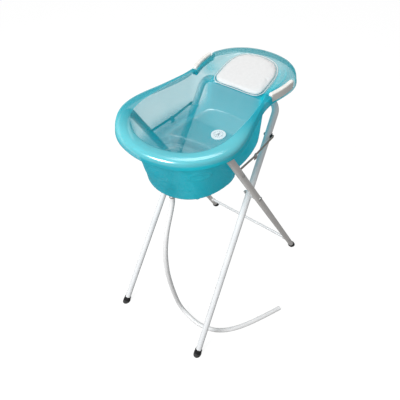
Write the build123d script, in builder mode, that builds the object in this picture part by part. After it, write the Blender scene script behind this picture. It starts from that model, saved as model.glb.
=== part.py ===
from build123d import *
import math
import os

# ---------------------------------------------------------------------------
# Baby bathtub on a folding X stand.  Millimetres.
# Drawn with the origin on the floor under the main pivot, +X towards the
# head end, +Z up.  "left" is +Y, "right" is -Y (the side the hose trails to).
# ---------------------------------------------------------------------------

# stand
TUBE_R = 12.5               # main tube radius
TUBE_WALL = 1.5
PIVOT_Z = 664.0             # height of the main pivot
OUTER_FOOT_X = 421.0        # outer frame foot, head end
INNER_FOOT_X = -373.0       # inner frame foot, foot end
OUTER_Y = 213.0             # outer leg centre line at the pivot height
INNER_Y = 177.0             # inner leg centre line at the pivot height
TAPER = 0.05135             # legs lean inwards going up
TUBE_END = 9.0              # tubes stop this far short of the floor, along the leg
FRAME_BEND = 42.0           # bend radius at the top of both frames
INNER_TOP = 344.0           # inner leg length above the pivot, to the crossbar
STAY_S = 228.0              # stay pins, distance above the pivot along the legs
CROSS_S = 658.0             # cross tube, distance below the pivot along the outer legs
PIVOT_BOLT_R = 4.0
STAY_PIN_R = 3.0
CROSS_SCREW_R = 2.5

# tub
SHELL = 3.0                 # wall thickness
TUB_TILT = -3.24            # rim plane rises towards the head end
RIM_Z = 1013.0              # rim height above the floor at the main pivot
LIP = 24.0                  # depth of the down-turned rim
LIP_FLARE = 4.0             # the lip spreads outwards by this much
SEAT_Z = -186.0             # seat floor, measured from the rim
WELL_Z = -234.0             # foot well floor, measured from the rim
DRAIN_X = -248.0            # outlet position in the tub's own axes
DISC_X = 31.0               # temperature disc position in the tub's own axes
FLOOR_X0, FLOOR_Z0, FLOOR_SLOPE = 125.0, -49.0, 13.2   # head dish floor: point, degrees

# moves the origin to the bottom centre of the whole object's box
HOME = Location((-24.3075, 65.880, 0))
TUB_LOCATION = Location((0, 0, RIM_Z)) * Location((0, 0, 0), (0, TUB_TILT, 0))

SIDES = ((1, "left"), (-1, "right"))
THROUGH = 300.0             # half length of a cutter that passes both sides

os.makedirs("parts", exist_ok=True)


# shared helpers ------------------------------------------------------------
def save(part, label):
    part.label = label
    export_step(part.moved(HOME), f"parts/{label}.step")


def save_on_tub(part, label):
    """save a part drawn in the tub's own axes"""
    save(part.moved(TUB_LOCATION), label)


def y_plane(x, y, z, facing):
    """plane with its normal along +Y or -Y"""
    return Plane(origin=(x, y, z), x_dir=(1, 0, 0), z_dir=(0, facing, 0))


def y_cylinder(x, z, radius, y_start, y_end, mode=Mode.ADD):
    with Locations(y_plane(x, (y_start + y_end) / 2, z, 1)):
        Cylinder(radius, abs(y_end - y_start), mode=mode)


def y_hole(x, z, radius):
    """hole through everything from side to side"""
    y_cylinder(x, z, radius, -THROUGH, THROUGH, Mode.SUBTRACT)


def z_cylinder(x, y, radius, bottom, top, mode=Mode.ADD):
    with Locations((x, y, (bottom + top) / 2)):
        Cylinder(radius, top - bottom, mode=mode)


def tapered_disc(x, y, z, facing, radius, height, taper):
    """fastener head that narrows along its facing direction in Y"""
    with BuildPart() as head:
        with BuildSketch(y_plane(x, y, z, facing)):
            Circle(radius)
        extrude(amount=height, taper=taper)
    return head.part


def mirror_y(v):
    return Vector(v.X, -v.Y, v.Z)


class Leg:
    """centre lines of a frame's two straight legs, measured from the pivot"""

    def __init__(self, foot_x, pivot_y):
        self.reach = math.hypot(foot_x, PIVOT_Z)    # pivot to floor, seen from the side
        self.run = -foot_x / self.reach
        self.rise = PIVOT_Z / self.reach
        self.pivot_y = pivot_y

    def point(self, s, side):
        """point at distance s from the pivot, up positive"""
        return Vector(s * self.run, side * (self.pivot_y - s * TAPER), PIVOT_Z + s * self.rise)

    def up(self, side):
        return Vector(self.run, -side * TAPER, self.rise).normalized()

    def tube_foot(self, side):
        return self.point(TUBE_END - self.reach, side)


def leg_rods(leg_ends):
    """solid rods along the legs, used to notch neighbouring parts"""
    with BuildPart() as rods:
        for start, end in leg_ends:
            with BuildLine() as axis:
                Line(start, end)
            with BuildSketch(Plane(origin=start, z_dir=(end - start).normalized())):
                Circle(TUBE_R)
            sweep(path=axis.wire())
    return rods.part


outer_leg = Leg(OUTER_FOOT_X, OUTER_Y)
inner_leg = Leg(INNER_FOOT_X, INNER_Y)
outer_pin = outer_leg.point(STAY_S, 1)
inner_pin = inner_leg.point(STAY_S, 1)
cross = outer_leg.point(-CROSS_S, 1)

# =======================================================================
# OUTER FRAME: one bent tube, feet at the head end, loop at the foot end
# =======================================================================
LOOP_Z0 = 996.3             # loop centre line height at X = 0
LOOP_SLOPE = 0.0566         # parallel to the rim
LOOP_TURN_IN = 0.40         # sideways slope where the loop leaves the bend
# left half of the loop centre line: x, y
LOOP = [(-264, 158), (-294, 125), (-320, 80), (-335, 0)]


def loop_z(x):
    return LOOP_Z0 + LOOP_SLOPE * x


outer_up = outer_leg.up(1)
loop_start = Vector(-1, -LOOP_TURN_IN, -LOOP_SLOPE).normalized()
loop_end = mirror_y(loop_start) * -1
# sharp corner where the leg line meets the loop height, then cut back for the bend
corner_s = (loop_z(0) - PIVOT_Z) / (outer_leg.rise - LOOP_SLOPE * outer_leg.run)
corner = outer_leg.point(corner_s, 1)
cut_back = FRAME_BEND * math.tan(math.acos(outer_up.dot(loop_start)) / 2)
knee_l = corner - outer_up * cut_back
bend_end_l = corner + loop_start * cut_back
knee_r, bend_end_r = mirror_y(knee_l), mirror_y(bend_end_l)
outer_foot_l, outer_foot_r = outer_leg.tube_foot(1), outer_leg.tube_foot(-1)
loop_l = [Vector(x, y, loop_z(x)) for x, y in LOOP]
loop_r = [mirror_y(p) for p in reversed(loop_l[:-1])]

with BuildPart() as outer_frame_tube:
    with BuildLine() as outer_path:
        Line(outer_foot_l, knee_l)
        TangentArc(knee_l, bend_end_l, tangent=outer_up)
        Spline([bend_end_l] + loop_l + loop_r + [bend_end_r], tangents=(loop_start, loop_end))
        TangentArc(bend_end_r, knee_r, tangent=loop_end)
        Line(knee_r, outer_foot_r)
    with BuildSketch(Plane(origin=outer_foot_l, z_dir=outer_up)):
        Circle(TUBE_R)
        Circle(TUBE_R - TUBE_WALL, mode=Mode.SUBTRACT)
    sweep(path=outer_path.wire())
    # main pivot, stay pins and cross tube screws
    y_hole(0, PIVOT_Z, PIVOT_BOLT_R)
    y_hole(outer_pin.X, outer_pin.Z, STAY_PIN_R)
    y_hole(cross.X, cross.Z, CROSS_SCREW_R)
save(outer_frame_tube.part, "outer_frame_tube")

outer_rods = leg_rods([(outer_foot_l, knee_l), (outer_foot_r, knee_r)])

# lower cross tube between the outer legs, with collars and screws
CROSS_R = 7.0
CROSS_WALL = 1.2
COLLAR_R = 9.5
cross_face = cross.Y - TUBE_R       # inner face of the outer leg
cross_half = cross_face - 1.5       # half length of the cross tube

with BuildPart() as lower_cross_tube:
    y_cylinder(cross.X, cross.Z, CROSS_R, -cross_half, cross_half)
    y_hole(cross.X, cross.Z, CROSS_R - CROSS_WALL)
save(lower_cross_tube.part, "lower_cross_tube")

with BuildPart() as cross_collars:
    for side in (1, -1):
        y_cylinder(cross.X, cross.Z, COLLAR_R, side * (cross_face - 14), side * (cross_face + 2))
    y_cylinder(cross.X, cross.Z, CROSS_R, -cross_half, cross_half, Mode.SUBTRACT)
    y_hole(cross.X, cross.Z, CROSS_SCREW_R)
    add(outer_rods, mode=Mode.SUBTRACT)
save(cross_collars.part, "cross_tube_collars")

with BuildPart() as cross_screws:
    for side in (1, -1):
        leg_face = cross.Y + TUBE_R
        y_cylinder(cross.X, cross.Z, CROSS_SCREW_R, side * (leg_face - 33), side * (leg_face + 1))
        add(tapered_disc(cross.X, side * (leg_face + 0.3), cross.Z, side,
                         radius=5.5, height=2.6, taper=18))
save(cross_screws.part, "cross_tube_screws")

# =======================================================================
# INNER FRAME: feet at the foot end, crossbar under the head dish
# =======================================================================
INNER_ROD_TOP = 290.0       # straight part of the inner leg used for notching
inner_foot_l, inner_foot_r = inner_leg.tube_foot(1), inner_leg.tube_foot(-1)

with BuildPart() as inner_frame_tube:
    with BuildLine() as inner_path:
        FilletPolyline(inner_foot_l, inner_leg.point(INNER_TOP, 1),
                       inner_leg.point(INNER_TOP, -1), inner_foot_r, radius=FRAME_BEND)
    with BuildSketch(Plane(origin=inner_foot_l, z_dir=inner_leg.up(1))):
        Circle(TUBE_R)
        Circle(TUBE_R - TUBE_WALL, mode=Mode.SUBTRACT)
    sweep(path=inner_path.wire())
    y_hole(0, PIVOT_Z, PIVOT_BOLT_R + 0.05)
    y_hole(inner_pin.X, inner_pin.Z, STAY_PIN_R)
save(inner_frame_tube.part, "inner_frame_tube")

inner_rods = leg_rods([(inner_foot_l, inner_leg.point(INNER_ROD_TOP, 1)),
                       (inner_foot_r, inner_leg.point(INNER_ROD_TOP, -1))])

# =======================================================================
# RUBBER FEET
# =======================================================================
CAP_R = 15.4
CAP_LEN = 27.0              # floor point to the mouth, along the leg
CAP_BASE_R = CAP_R + 1.2    # thicker band at the floor
CAP_BASE_LEN = 10.0
CAP_BELOW = 40.0            # extra length below the floor point, cut off flat
CAP_FILLET = 2.5


def foot_cap(leg, side, label):
    """sleeve over the tube end, cut flat on the floor"""
    up = leg.up(side)
    floor_point = leg.point(-leg.reach, side)
    base = floor_point - up * CAP_BELOW
    mouth = floor_point + up * CAP_LEN
    with BuildPart() as cap:
        with BuildSketch(Plane(origin=base, z_dir=up)):
            Circle(CAP_BASE_R)
        extrude(amount=CAP_BELOW + CAP_BASE_LEN)
        with BuildSketch(Plane(origin=floor_point + up * CAP_BASE_LEN, z_dir=up)):
            Circle(CAP_R)
        extrude(amount=CAP_LEN - CAP_BASE_LEN)
        mouth_edge = min(cap.edges(),
                         key=lambda e: (e.center(CenterOf.BOUNDING_BOX) - mouth).length)
        fillet(mouth_edge, CAP_FILLET)
        # everything below the floor
        with Locations((base.X, base.Y, -100)):
            Box(400, 400, 200, mode=Mode.SUBTRACT)
        # bore that receives the tube
        with BuildSketch(Plane(origin=floor_point + up * TUBE_END, z_dir=up)):
            Circle(TUBE_R)
        extrude(amount=80, mode=Mode.SUBTRACT)
    save(cap.part, label)


for side, tag in SIDES:
    foot_cap(outer_leg, side, f"outer_foot_{tag}")
    foot_cap(inner_leg, side, f"inner_foot_{tag}")

# =======================================================================
# MAIN PIVOT: bolts, nuts and spacers
# =======================================================================
BOLT_HEAD_Y = OUTER_Y + TUBE_R + 0.5    # underside of the bolt head
NUT_Y = INNER_Y - TUBE_R - 0.9          # outer face of the nut
BOLT_END_Y = NUT_Y - 7                  # inner end of the bolt
NUT_HEX = 4.5                           # thickness of the nut's hexagon
SPACER_R = 10.0


def pivot_bolt(side, label):
    with BuildPart() as bolt:
        y_cylinder(0, PIVOT_Z, PIVOT_BOLT_R, side * BOLT_END_Y, side * BOLT_HEAD_Y)
        # domed head
        with BuildSketch(y_plane(0, side * BOLT_HEAD_Y, PIVOT_Z, side)):
            Circle(9.0)
        extrude(amount=3.4)
        outermost = max(bolt.edges().filter_by(GeomType.CIRCLE),
                        key=lambda e: abs(e.arc_center.Y))
        fillet(outermost, 2.6)
    save(bolt.part, label)


def pivot_nut(side, label):
    with BuildPart() as nut:
        with BuildSketch(y_plane(0, side * NUT_Y, PIVOT_Z, -side)):
            RegularPolygon(7.0, 6)
        extrude(amount=NUT_HEX)
        add(tapered_disc(0, side * (NUT_Y - NUT_HEX), PIVOT_Z, -side,
                         radius=5.4, height=3.5, taper=18))
        y_cylinder(0, PIVOT_Z, PIVOT_BOLT_R, side * BOLT_END_Y, side * BOLT_HEAD_Y, Mode.SUBTRACT)
    save(nut.part, label)


for side, tag in SIDES:
    pivot_bolt(side, f"pivot_bolt_{tag}")
    pivot_nut(side, f"pivot_nut_{tag}")

with BuildPart() as pivot_spacers:
    for side in (1, -1):
        y_cylinder(0, PIVOT_Z, SPACER_R,
                   side * (INNER_Y + TUBE_R + 0.6), side * (OUTER_Y - TUBE_R + 4))
    y_hole(0, PIVOT_Z, PIVOT_BOLT_R)
    add(outer_rods, mode=Mode.SUBTRACT)
save(pivot_spacers.part, "pivot_spacers")

# =======================================================================
# SIDE STAYS: flat links between the legs, above the pivot
# =======================================================================
LINK_T = 1.6
LINK_W = 11.0
LOWER_LINK_Y = 186.8        # inner face of the lower link (outer frame side)
UPPER_LINK_Y = 184.8        # inner face of the upper link (inner frame side)
PIN_EYE_R = 6.5
KNUCKLE_EYE_R = 8.6
RIVET_R = 2.5
KNUCKLE_DROP_DEG = 3.0      # the knuckle sits just below the straight line

lower_end = (outer_pin.X, outer_pin.Z)
upper_end = (inner_pin.X, inner_pin.Z)
chord_x, chord_z = upper_end[0] - lower_end[0], upper_end[1] - lower_end[1]
link_length = math.hypot(chord_x, chord_z) / 2 / math.cos(math.radians(KNUCKLE_DROP_DEG))
link_angle = math.atan2(chord_z, chord_x) - math.radians(KNUCKLE_DROP_DEG)
knuckle = (lower_end[0] + link_length * math.cos(link_angle),
           lower_end[1] + link_length * math.sin(link_angle))


def link(pin, y_inner, side, label, tab):
    """flat bar from the pin to the knuckle, both (x, z), with round pierced ends"""
    dx, dz = knuckle[0] - pin[0], knuckle[1] - pin[1]
    length = math.hypot(dx, dz)
    middle = ((pin[0] + knuckle[0]) / 2, side * y_inner, (pin[1] + knuckle[1]) / 2)
    outwards = -side * LINK_T
    with BuildPart() as bar:
        with BuildSketch(Plane(origin=middle, x_dir=(dx / length, 0, dz / length),
                               z_dir=(0, -1, 0))):
            SlotCenterToCenter(length, LINK_W)
            with Locations((-length / 2, 0)):
                Circle(PIN_EYE_R)
                Circle(STAY_PIN_R + 0.05, mode=Mode.SUBTRACT)
            with Locations((length / 2, 0)):
                Circle(KNUCKLE_EYE_R)
                Circle(RIVET_R, mode=Mode.SUBTRACT)
        extrude(amount=outwards)
        if tab:
            # thumb tab hanging from the knuckle end
            with BuildSketch(y_plane(knuckle[0], side * y_inner, knuckle[1], -1)):
                with Locations((5.5, -12)):
                    RectangleRounded(18, 19, 4)
                Circle(KNUCKLE_EYE_R - 0.1, mode=Mode.SUBTRACT)
            extrude(amount=outwards)
    save(bar.part, label)


def knuckle_rivet(side, y_inner, head_y, facing, head_r, head_height, label):
    """rivet half: shank in one link and a tapered head"""
    x, z = knuckle
    with BuildPart() as rivet:
        y_cylinder(x, z, RIVET_R, side * y_inner, side * (y_inner + LINK_T))
        add(tapered_disc(x, side * head_y, z, facing, head_r, head_height, taper=20))
    save(rivet.part, label)


for side, tag in SIDES:
    link(lower_end, LOWER_LINK_Y, side, f"stay_lower_{tag}", tab=False)
    link(upper_end, UPPER_LINK_Y, side, f"stay_upper_{tag}", tab=True)
    knuckle_rivet(side, LOWER_LINK_Y, head_y=LOWER_LINK_Y + LINK_T, facing=side,
                  head_r=5.0, head_height=2.2, label=f"knuckle_rivet_outer_{tag}")
    knuckle_rivet(side, UPPER_LINK_Y, head_y=UPPER_LINK_Y, facing=-side,
                  head_r=4.4, head_height=0.6, label=f"knuckle_rivet_inner_{tag}")

# pins through the outer legs, heads outside
with BuildPart() as stay_pins_outer:
    for side in (1, -1):
        head_y = outer_pin.Y + TUBE_R + 0.5
        y_cylinder(outer_pin.X, outer_pin.Z, STAY_PIN_R, side * LOWER_LINK_Y, side * head_y)
        add(tapered_disc(outer_pin.X, side * (head_y - 0.1), outer_pin.Z, side,
                         radius=6.5, height=2.8, taper=25))
save(stay_pins_outer.part, "stay_pins_outer")

# pins through the inner legs, heads inside
with BuildPart() as stay_pins_inner:
    for side in (1, -1):
        head_y = inner_pin.Y - TUBE_R - 0.9
        y_cylinder(inner_pin.X, inner_pin.Z, STAY_PIN_R,
                   side * head_y, side * (UPPER_LINK_Y + LINK_T))
        add(tapered_disc(inner_pin.X, side * (head_y + 0.3), inner_pin.Z, -side,
                         radius=6.0, height=2.4, taper=25))
save(stay_pins_inner.part, "stay_pins_inner")

# moulded clips that hold the upper links off the inner legs
CLIP_WALL = 2.4
CLIP_LEN = 18.0
CLIP_BOSS_R = 7.0
with BuildPart() as stay_clips:
    # sleeve round each leg
    for side in (1, -1):
        sleeve_plane = Plane(origin=inner_leg.point(STAY_S, side), z_dir=inner_leg.up(side))
        with BuildSketch(sleeve_plane.offset(-CLIP_LEN / 2)):
            Circle(TUBE_R + CLIP_WALL)
        extrude(amount=CLIP_LEN)
    # open towards the foot end, leaving the head-side part of the sleeve
    for side in (1, -1):
        footward = Vector(-inner_leg.rise, 0, inner_leg.run)
        centre = inner_leg.point(STAY_S, side) + footward * 19
        along_leg = footward.cross(inner_leg.up(side)).cross(footward)
        with Locations(Plane(origin=centre, x_dir=footward, z_dir=along_leg)):
            Box(36, 60, 60, mode=Mode.SUBTRACT)
    # boss between the leg and the upper link
    for side in (1, -1):
        y_cylinder(inner_pin.X, inner_pin.Z, CLIP_BOSS_R,
                   side * (inner_pin.Y + 2), side * (UPPER_LINK_Y - 0.25))
    y_hole(inner_pin.X, inner_pin.Z, STAY_PIN_R)
    add(inner_rods, mode=Mode.SUBTRACT)
    # open the sleeve on the inner side so that it snaps on
    for side in (1, -1):
        with Locations((inner_pin.X, side * (inner_pin.Y - 16), inner_pin.Z)):
            Box(60, 18, 60, mode=Mode.SUBTRACT)
save(stay_clips.part, "stay_clips")

# =======================================================================
# TUB: drawn level in its own axes with the rim at Z = 0
# =======================================================================
# left half outlines in plan, foot end to head end: x, y
RIM_IN = [(-312, 0), (-306, 50), (-290, 95), (-262, 132), (-230, 156), (-190, 169), (-150, 174),
          (-100, 173), (-50, 169), (0, 164), (40, 156), (70, 149), (100, 141), (130, 122),
          (147, 76), (152, 0)]
SEAT = [(-297, 0), (-291, 48), (-274, 88), (-246, 120), (-205, 144), (-150, 158), (-100, 163),
        (-50, 164), (0, 162), (40, 153), (70, 144), (94, 132), (112, 107), (122, 76), (126, 40),
        (127, 0)]
WELL_TOP = [(-297, 0), (-291, 48), (-274, 88), (-246, 120), (-205, 144), (-150, 158),
            (-100, 162), (-66, 154), (-46, 128), (-37, 84), (-32, 41), (-31, 0)]
WELL = [(-290, 0), (-284, 45), (-266, 86), (-238, 116), (-200, 139), (-150, 152), (-108, 155),
        (-78, 146), (-60, 108), (-52, 52), (-50, 0)]
DISH = [(40, 0), (42, 60), (50, 104), (70, 130), (105, 142), (150, 148), (200, 150), (240, 144),
        (277, 125), (304, 95), (321, 50), (326, 0)]
DISH_FLOOR = [(40, 0), (42, 50), (52, 84), (72, 104), (110, 112), (160, 114), (210, 114),
              (250, 110), (284, 97), (308, 70), (320, 36), (322, 0)]
RIM_OUT = [(-358, 0), (-352, 55), (-336, 106), (-306, 152), (-262, 190), (-215, 213),
           (-165, 218), (-110, 209), (-60, 194), (0, 179), (50, 169), (100, 168), (150, 177),
           (200, 184), (240, 178), (280, 159), (315, 131), (345, 91), (361, 45), (366, 0)]
HALF_POINTS = 13            # points per half outline after resampling
CUTTER_TOP = SHELL + 6      # cutters reach above the rim


def closed(points, offset=0.0):
    """mirror a half outline and push it outwards by offset"""
    full = list(points) + [(x, -y) for x, y in reversed(points[1:-1])]
    out = []
    for i, (x, y) in enumerate(full):
        x0, y0 = full[i - 1]
        x1, y1 = full[(i + 1) % len(full)]
        span = math.hypot(x1 - x0, y1 - y0)
        out.append((x - (y1 - y0) / span * offset, y + (x1 - x0) / span * offset))
    return out


def resample(points, count):
    """count points evenly along a half outline"""
    run = [0.0]
    for p, q in zip(points, points[1:]):
        run.append(run[-1] + math.hypot(q[0] - p[0], q[1] - p[1]))
    out = []
    for k in range(count):
        s = run[-1] * k / (count - 1)
        for i, (p, q) in enumerate(zip(points, points[1:])):
            if s <= run[i + 1] + 1e-9:
                t = (s - run[i]) / (run[i + 1] - run[i])
                out.append((p[0] * (1 - t) + q[0] * t, p[1] * (1 - t) + q[1] * t))
                break
    out[0], out[-1] = (points[0][0], 0.0), (points[-1][0], 0.0)
    return out


def outline_loft(sections, ruled=True):
    """loft through closed outlines, each (plane, points)"""
    with BuildPart() as body:
        for plane, points in sections:
            with BuildSketch(plane):
                with BuildLine():
                    Spline([Vector(x, y) for x, y in points], periodic=True)
                make_face()
        loft(ruled=ruled)
    return body.part


def level(z):
    return Plane(origin=(0, 0, z))


slope = math.radians(FLOOR_SLOPE)
dish_plane = Plane(origin=(FLOOR_X0, 0, FLOOR_Z0),
                   x_dir=(math.cos(slope), 0, math.sin(slope)),
                   z_dir=(-math.sin(slope), 0, math.cos(slope)))


def on_dish(points):
    """outline measured from the origin of the dish plane"""
    return [(x - FLOOR_X0, y) for x, y in points]


rim_in, seat = resample(RIM_IN, HALF_POINTS), resample(SEAT, HALF_POINTS)
well_top, well = resample(WELL_TOP, HALF_POINTS), resample(WELL, HALF_POINTS)
halfway = [((p[0] + q[0]) / 2, (p[1] + q[1]) / 2) for p, q in zip(rim_in, seat)]


# the three hollows: wall = SHELL gives the outside, wall = 0 the cutter
def top_z(wall):
    return CUTTER_TOP if wall == 0 else 0


def basin(wall):
    return outline_loft([
        (level(top_z(wall)), closed(rim_in, wall)),
        (level(SEAT_Z * 0.55), closed(halfway, wall)),
        (level(SEAT_Z + 26 - wall), closed(seat, wall)),
        (level(SEAT_Z + 8 - wall), closed(seat, wall - 3)),
        (level(SEAT_Z - wall), closed(seat, wall - 12)),
    ])


def foot_well(wall):
    return outline_loft([
        (level(SEAT_Z + 34), closed(well_top, wall - 3)),
        (level(WELL_Z + 24 - wall), closed(well, wall)),
        (level(WELL_Z + 7 - wall), closed(well, wall - 5)),
        (level(WELL_Z - wall), closed(well, wall - 17)),
    ])


def dish(wall):
    return outline_loft([
        (dish_plane.offset(-wall), closed(on_dish(DISH_FLOOR), wall - 8)),
        (dish_plane.offset(10 - wall), closed(on_dish(DISH_FLOOR), wall)),
        (level(top_z(wall)), closed(DISH, wall)),
    ])


# grips stand in notches in the rim --------------------------------------
GRIP_IN, GRIP_OUT = -1.0, 15.0       # grip faces, measured across the grip line
GRIP_FLOOR, GRIP_TOP = -21.5, 9.0    # notch floor and top of the grip
GRIP_X0, GRIP_X1 = 104.0, 220.0      # ends of the grip
SCREW_LINE_X1 = 222.0                # head end of the line the screws are spaced on
SCREW_R = 1.8
SCREW_HEAD_R = 3.6


def grip_line(offset, x0, x1):
    """nine points of the grip line from x0 to x1, pushed sideways by offset"""
    out = []
    for i in range(9):
        t = i / 8
        x = x0 + (x1 - x0) * t
        y = 150.0 + 17.0 * t + 5.0 * math.sin(math.pi * t)
        dy = (17.0 + 5.0 * math.pi * math.cos(math.pi * t)) / (x1 - x0)
        norm = math.hypot(1, dy)
        out.append((x - offset * dy / norm, y + offset / norm))
    return out


def grip_strip(bottom, top, inner, outer, side, x0, x1):
    """upright block following the grip line, from inner to outer across it"""
    far = [(x, side * y) for x, y in grip_line(outer, x0, x1)]
    near = [(x, side * y) for x, y in grip_line(inner, x0, x1)]
    with BuildPart() as body:
        with BuildSketch(level(bottom)):
            with BuildLine():
                Spline([Vector(x, y) for x, y in far])
                Spline([Vector(x, y) for x, y in near])
                Line(far[0], near[0])
                Line(far[-1], near[-1])
            make_face()
        extrude(amount=top - bottom)
    return body.part


def screw_points(side):
    middle = grip_line((GRIP_IN + GRIP_OUT) / 2, GRIP_X0, SCREW_LINE_X1)
    return [(middle[i][0], side * middle[i][1]) for i in (1, 7)]


all_screw_points = screw_points(1) + screw_points(-1)

# tub shell ---------------------------------------------------------------
GASKET_BORE_R = 12.9        # outlet barrel radius
OUTLET_HOLE_R = 13.0
TUB_FOOT_X, TUB_FOOT_Y, TUB_FOOT_R = -222, 93, 11.0

with BuildPart() as tub_shell:
    # flange
    with BuildSketch(level(-SHELL)):
        with BuildLine():
            Spline([Vector(x, y) for x, y in closed(RIM_OUT)], periodic=True)
        make_face()
    extrude(amount=SHELL)
    # down-turned lip
    add(outline_loft([(level(0), closed(RIM_OUT)), (level(-LIP), closed(RIM_OUT, LIP_FLARE))]))
    add(outline_loft([(level(-SHELL), closed(RIM_OUT, -SHELL)),
                      (level(-LIP - 1), closed(RIM_OUT, LIP_FLARE - SHELL))]),
        mode=Mode.SUBTRACT)
    # outsides of the hollows and of the grip notches
    add(basin(SHELL))
    add(foot_well(SHELL))
    add(dish(SHELL))
    for side in (1, -1):
        add(grip_strip(GRIP_FLOOR - SHELL, -1, GRIP_IN - 4, GRIP_OUT + 1, side, 97, 228))
    # short moulded feet under the foot end, so that the tub can stand on a floor
    for side in (1, -1):
        z_cylinder(TUB_FOOT_X, side * TUB_FOOT_Y, TUB_FOOT_R,
                   WELL_Z - SHELL - 8.5, WELL_Z - SHELL + 2.5)
    # hollow out
    add(basin(0), mode=Mode.SUBTRACT)
    add(foot_well(0), mode=Mode.SUBTRACT)
    add(dish(0), mode=Mode.SUBTRACT)
    # recess for each grip
    for side in (1, -1):
        add(grip_strip(GRIP_FLOOR, 20, GRIP_IN - 1, GRIP_OUT + 24, side, 100, 225),
            mode=Mode.SUBTRACT)
    z_cylinder(DRAIN_X, 0, OUTLET_HOLE_R, WELL_Z - 15, WELL_Z + 15, Mode.SUBTRACT)
    for x, y in all_screw_points:
        z_cylinder(x, y, SCREW_R, GRIP_FLOOR - 5.5, GRIP_FLOOR + 2.5, Mode.SUBTRACT)
save_on_tub(tub_shell.part, "tub_shell")


def handle(side, label):
    """rounded grip bar with two screw pockets underneath"""
    middle_z = (GRIP_FLOOR + GRIP_TOP) / 2
    with BuildPart() as grip:
        add(grip_strip(GRIP_FLOOR + 0.1, GRIP_TOP, GRIP_IN, GRIP_OUT, side, GRIP_X0, GRIP_X1))
        # upright corners, then the top outline
        fillet(grip.edges().filter_by(
            lambda e: abs(e.center().Z - middle_z) < 2 and e.length < 60), 6.0)
        fillet(grip.edges().filter_by(
            lambda e: e.center().Z > GRIP_TOP - 0.1 and e.length > 2), 5.0)
        for x, y in screw_points(side):
            z_cylinder(x, y, SCREW_R, GRIP_FLOOR - 8, GRIP_FLOOR + 8, Mode.SUBTRACT)
    save_on_tub(grip.part, label)


for side, tag in SIDES:
    handle(side, f"handle_{tag}")

# screws from below through the notch floor
with BuildPart() as handle_screws:
    for x, y in all_screw_points:
        z_cylinder(x, y, SCREW_R, GRIP_FLOOR - 7, GRIP_FLOOR + 8)
        z_cylinder(x, y, SCREW_HEAD_R, GRIP_FLOOR - SHELL - 2.9, GRIP_FLOOR - SHELL - 0.1)
save_on_tub(handle_screws.part, "handle_screws")

# head pad: rounded slab lying on the dish floor ---------------------------
# left half outline: x, y
PAD = [(131, 0), (130, 40), (131, 78), (139, 97), (158, 103), (200, 104), (240, 102), (272, 93),
       (296, 76), (311, 50), (317, 22), (318, 0)]
PAD_GAP = 1.0
# height above the pad's underside, outline offset
PAD_LEVELS = [(0, -7), (2.6, -2), (6.5, 0), (10.4, -2.2), (13.0, -8)]
pad_plane = dish_plane.offset(PAD_GAP)
headrest_pad = outline_loft([(pad_plane.offset(height), closed(on_dish(PAD), offset))
                             for height, offset in PAD_LEVELS], ruled=False)
save_on_tub(headrest_pad, "headrest_pad")

# temperature disc on the seat floor, with a dial in its recess --------------
DISC_R = 28.0
DISC_RECESS_R = 21.0
with BuildPart() as disc:
    z_cylinder(DISC_X, 0, DISC_R, SEAT_Z + 0.05, SEAT_Z + 5.05)
    fillet(disc.edges().sort_by(Axis.Z)[-1], 1.5)
    z_cylinder(DISC_X, 0, DISC_RECESS_R, SEAT_Z + 3.85, SEAT_Z + 6.25, Mode.SUBTRACT)
save_on_tub(disc.part, "temperature_disc")

with BuildPart() as dial:
    z_cylinder(DISC_X, 0, DISC_RECESS_R - 0.1, SEAT_Z + 3.9, SEAT_Z + 4.8)
save_on_tub(dial.part, "disc_dial")

# =======================================================================
# OUTLET: fitting, gasket, nut and plug, in the tub's own axes
# =======================================================================
FLANGE_R = 19.0
SPOUT_R = 8.0
SPOUT_BORE_R = 6.4
GASKET_R = 18.5
NUT_R = 19.5
NUT_HEIGHT = 9
PLUG_TOP_R = 15.0
TAB_T = 3.2                 # pull tab thickness
TAB_R, TAB_HOLE_R = 9, 4.6

with BuildPart() as drain_fitting:
    z_cylinder(DRAIN_X, 0, FLANGE_R, WELL_Z + 0.1, WELL_Z + 2.5)
    z_cylinder(DRAIN_X, 0, GASKET_BORE_R, WELL_Z - 29, WELL_Z + 1)
    z_cylinder(DRAIN_X, 0, SPOUT_R, WELL_Z - 49, WELL_Z - 27)
    z_cylinder(DRAIN_X, 0, SPOUT_BORE_R, WELL_Z - 55, WELL_Z + 15, Mode.SUBTRACT)
    # tapered seat for the plug
    with Locations((DRAIN_X, 0, WELL_Z - 6)):
        Cone(9.0, 11.0, 18, mode=Mode.SUBTRACT)
save_on_tub(drain_fitting.part, "drain_fitting")

with BuildPart() as drain_gasket:
    under_well = WELL_Z - SHELL
    z_cylinder(DRAIN_X, 0, GASKET_R, under_well - 2.5, under_well - 0.1)
    z_cylinder(DRAIN_X, 0, GASKET_BORE_R, under_well - 6.3, under_well + 3.7, Mode.SUBTRACT)
save_on_tub(drain_gasket.part, "drain_gasket")

with BuildPart() as drain_nut:
    with BuildSketch(level(WELL_Z - SHELL - 2.6 - NUT_HEIGHT)):
        with Locations((DRAIN_X, 0)):
            RegularPolygon(NUT_R, 8)
    extrude(amount=NUT_HEIGHT)
    z_cylinder(DRAIN_X, 0, GASKET_BORE_R, WELL_Z - 28, WELL_Z + 12, Mode.SUBTRACT)
save_on_tub(drain_nut.part, "drain_nut")

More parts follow.
